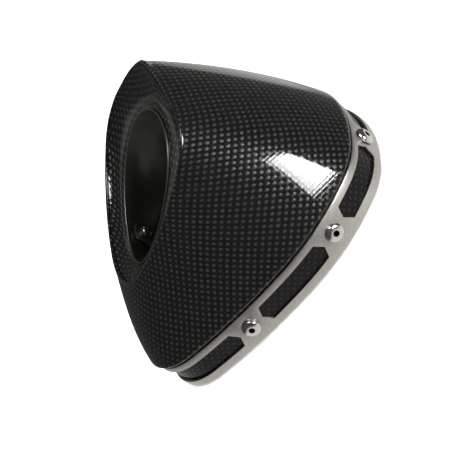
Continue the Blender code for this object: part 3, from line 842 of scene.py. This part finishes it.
def sleeve_face(outset, steps=4):
    """Loops of one face of the sleeve, from just under its lip down to its bottom."""
    top = egg_loop(outset - SLEEVE_WALL, SLEEVE_PROUD - SLEEVE_ROUND)
    neck = egg_loop(outset - SLEEVE_WALL, SLEEVE_PROUD - SLEEVE_NECK)
    shoulder = circle_loop(SLEEVE_RADIUS + outset, 0.0, FINE)
    for point, start in zip(shoulder, neck):
        point.z = start.z - SLEEVE_ROUND_BELOW
    loops = [top]
    loops += [mix_loops(neck, shoulder, step / steps) for step in range(steps + 1)]
    loops.append(circle_loop(SLEEVE_RADIUS + outset, SEAT_TOP, FINE))
    loops.append(circle_loop(SLEEVE_RADIUS + outset, SLEEVE_BOTTOM, FINE))
    return loops


def build_sleeve(finish):
    outer = sleeve_face(SLEEVE_WALL)
    inner = sleeve_face(0.0)
    lip = []
    for angle in (30, 60, 90, 120, 150):
        lean = math.radians(angle)
        if angle < 90:
            side = -SLEEVE_ROUND * (1 - math.cos(lean))
        else:
            side = -SLEEVE_WALL + SLEEVE_ROUND * (1 + math.cos(lean))
        lip.append(egg_loop(side, SLEEVE_PROUD - SLEEVE_ROUND * (1 - math.sin(lean))))
    sleeve = ring_piece("outlet_tube", inner[::-1] + lip[::-1] + outer, finish, sharp=60.0)
    settle(sleeve, "outlet_sleeve", "cap")


def screw_place(radius):
    angle = math.radians(TAB_AZIMUTH)
    return Vector((radius * math.cos(angle), SLEEVE_Y + radius * math.sin(angle), SCREW_Z))


def build_screw(finish):
    seat = COLLAR_RADIUS - INSERT_WALL - 2 * GAP - WASHER_THICK
    tip = seat - COLLAR_RADIUS - GAP - NUT_THICK
    start = tip + SCREW_POINT
    profile = [(SCREW_RADIUS - SCREW_POINT, tip), (SCREW_RADIUS, start)]
    for i in range(THREAD_RINGS + 1):
        root = THREAD_DEPTH if i % 2 else 0.0
        profile.append((SCREW_RADIUS - root, start - start * i / THREAD_RINGS))
    profile.append((SCREW_HEAD - FINE_BREAK, 0.0))
    profile += dome(SCREW_HEAD, EDGE_BREAK, SCREW_HEAD_RISE, SCREW_SOCKET + SOCKET_LAND, 12)
    profile += [
        (SCREW_SOCKET, SCREW_HEAD_RISE - EDGE_BREAK),
        (SCREW_SOCKET * 0.98, SCREW_HEAD_RISE * 0.35),
        (SCREW_SOCKET * 0.5, SCREW_HEAD_RISE * 0.25),
    ]
    screw = turned("button_screw", profile, finish, 60)
    inward = (screw_place(0.0) - screw_place(1.0)).normalized()
    place(screw, screw_place(seat), inward)
    settle(screw, "lock_screw", "screw")


def dress_frame(finishes):
    """Procedural materials for the CAD solids that are kept."""
    for node, finish in finishes.items():
        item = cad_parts[node]
        item.data.materials.clear()
        item.data.materials.append(finish)


# ---------------------------------------------------------------- studio

def add_camera():
    data = bpy.data.cameras.new("camera")
    data.lens = LENS
    data.sensor_width = 36.0
    data.clip_start = 0.01
    data.clip_end = 50.0
    camera = bpy.data.objects.new("camera", data)
    bpy.context.scene.collection.objects.link(camera)
    right = EYE_RIGHT.normalized()
    back = right.cross(EYE_UP).normalized()
    up = back.cross(right)
    turn = Matrix((right, up, back)).transposed().to_4x4()
    camera.matrix_world = Matrix.Translation(EYE) @ turn
    bpy.context.scene.camera = camera


def add_floor():
    """Pale paper. It stays out of reflections, which see the room's own glow instead."""
    mesh = bpy.data.meshes.new("floor")
    side = FLOOR_REACH
    corners = [(-side, -side, 0), (side, -side, 0), (side, side, 0), (-side, side, 0)]
    mesh.from_pydata(corners, [], [(0, 1, 2, 3)])
    material, g = start_material("floor_paper")
    tone = g.noise(g.position(), 3.0)
    g.drive("Base Color", g.mix(tone, (0.9, 0.9, 0.9), (0.94, 0.94, 0.94)))
    g.set(Roughness=0.9, Specular_IOR_Level=0.1, Emission_Color=WHITE, Emission_Strength=FLOOR_GLOW)
    mesh.materials.append(material)
    floor = bpy.data.objects.new("floor", mesh)
    floor.location.z = -FLOOR_DROP
    floor.visible_glossy = False
    floor.visible_shadow = False
    bpy.context.scene.collection.objects.link(floor)


def add_softbox(name, position, width, height, power):
    data = bpy.data.lights.new(name, "AREA")
    data.shape = "RECTANGLE"
    data.size = width
    data.size_y = height
    data.energy = power
    lamp = bpy.data.objects.new(name, data)
    bpy.context.scene.collection.objects.link(lamp)
    turn = (position - MIDDLE).normalized().to_track_quat("Z", "Y").to_matrix().to_4x4()
    lamp.matrix_world = Matrix.Translation(position) @ turn
    return lamp


def add_key():
    """A lit sheet of cloth between four corners, dimmer towards its first side."""
    mesh = bpy.data.meshes.new("key_sheet")
    mesh.from_pydata(KEY_CORNERS, [], [(0, 1, 2, 3)])
    layer = mesh.uv_layers.new(name="sheet")
    for loop, place in zip(layer.data, ((0, 0), (1, 0), (1, 1), (0, 1))):
        loop.uv = place
    material, g = start_material("key_sheet")
    across = g.split(g.node("ShaderNodeUVMap", uv_map="sheet").outputs["UV"])["X"]
    g.drive("Emission Strength", g.spread(across, 0.0, 0.5, KEY_GLOW * (1 - KEY_FADE), KEY_GLOW))
    g.set(Base_Color=BLACK, Emission_Color=WHITE, Specular_IOR_Level=0.0)
    mesh.materials.append(material)
    sheet = bpy.data.objects.new("key_sheet", mesh)
    bpy.context.scene.collection.objects.link(sheet)


def add_world():
    """Dark room with a pale table below the horizon, a pale wall and a dim lining light."""
    world = bpy.data.worlds.new("studio")
    world.use_nodes = True
    g = Graph(world.node_tree, "Background")
    way = g.node("ShaderNodeTexCoord").outputs["Generated"]
    y, z = g.split(way)[1:]
    roof_side = g.spread(y, *ROOF_SIDE, TABLE_GLOW, TABLE_GLOW_ROOF)
    table = g.math("MULTIPLY", g.spread(z, *TABLE_EDGE, 0.0, 1.0), roof_side)
    wall = g.spread(g.lean(way, WALL_WAY), *WALL_EDGE, 0.0, WALL_GLOW)
    wall = g.math("MULTIPLY", wall, g.spread(z, *WALL_TOP, 0.0, 1.0))
    lining = g.spread(g.lean(way, LINING_WAY), *LINING_EDGE, 0.0, LINING_GLOW)
    level = g.math("MAXIMUM", table, g.math("MAXIMUM", wall, lining))
    g.drive("Strength", g.math("ADD", level, ROOM_GLOW))
    g.set(Color=WORLD_COLOUR)
    bpy.context.scene.world = world


def add_studio():
    add_world()
    add_key()
    overhead = add_softbox("overhead", OVERHEAD_AT, OVERHEAD_SIZE, OVERHEAD_SIZE, OVERHEAD_POWER)
    overhead.visible_glossy = False
    add_softbox("strip", STRIP_AT, *STRIP_SIZE, STRIP_POWER)
    view = bpy.context.scene.view_settings
    view.view_transform = "Standard"
    view.look = "None"


def main():
    add_camera()
    add_floor()
    add_studio()
    holes = rivet_holes()
    windows = band_windows()
    build_shell(carbon("shell_cloth"), holes)
    build_funnel(carbon("dish_cloth"))
    build_band(metal("band_metal", (0.60, 0.58, 0.54), 0.33), holes, windows)
    build_rivets(rivet_metal())
    build_sleeve(metal("sleeve_metal", (0.35, 0.36, 0.33), 0.36, stain=(0.17, 0.18, 0.16)))
    build_screw(metal("screw_metal", (0.42, 0.41, 0.4), 0.25))
    sheet = metal("insert_metal", (0.23, 0.22, 0.21), 0.4, stain=(0.12, 0.10, 0.08))
    dress_frame({
        "heat_liner": metal("foil", (0.75, 0.75, 0.74), 0.35, grain=220.0, bump=0.3),
        "backing_ring": metal("backing_metal", (0.5, 0.49, 0.47), 0.4),
        "end_plate": metal("plate_metal", (0.45, 0.44, 0.42), 0.42, stain=(0.30, 0.24, 0.17)),
        "body_gasket": fibrous("gasket_sheet", (0.05, 0.05, 0.05), (0.13, 0.13, 0.13), 900.0, 0.5),
        "sleeve_seal": fibrous("seal_silicone", (0.02, 0.02, 0.02), (0.035, 0.035, 0.035), 500.0, 0.1),
        "sleeve_lagging": fibrous("glass_wrap", (0.42, 0.40, 0.34), (0.72, 0.69, 0.60), 700.0, 0.9),
        "insert_seat": metal("seat_metal", (0.3, 0.29, 0.28), 0.4, stain=(0.15, 0.12, 0.1)),
        "insert_collar": sheet,
        "screw_tab": sheet,
        "insert_cone": sheet,
        "perforated_tube": sheet,
        "insert_end_cap": sheet,
        "lock_nut": metal("nut_metal", (0.4, 0.39, 0.37), 0.35),
        "lock_washer": metal("washer_metal", (0.4, 0.39, 0.37), 0.3),
    })
    for item in (holes, windows):
        bpy.data.objects.remove(item)


main()
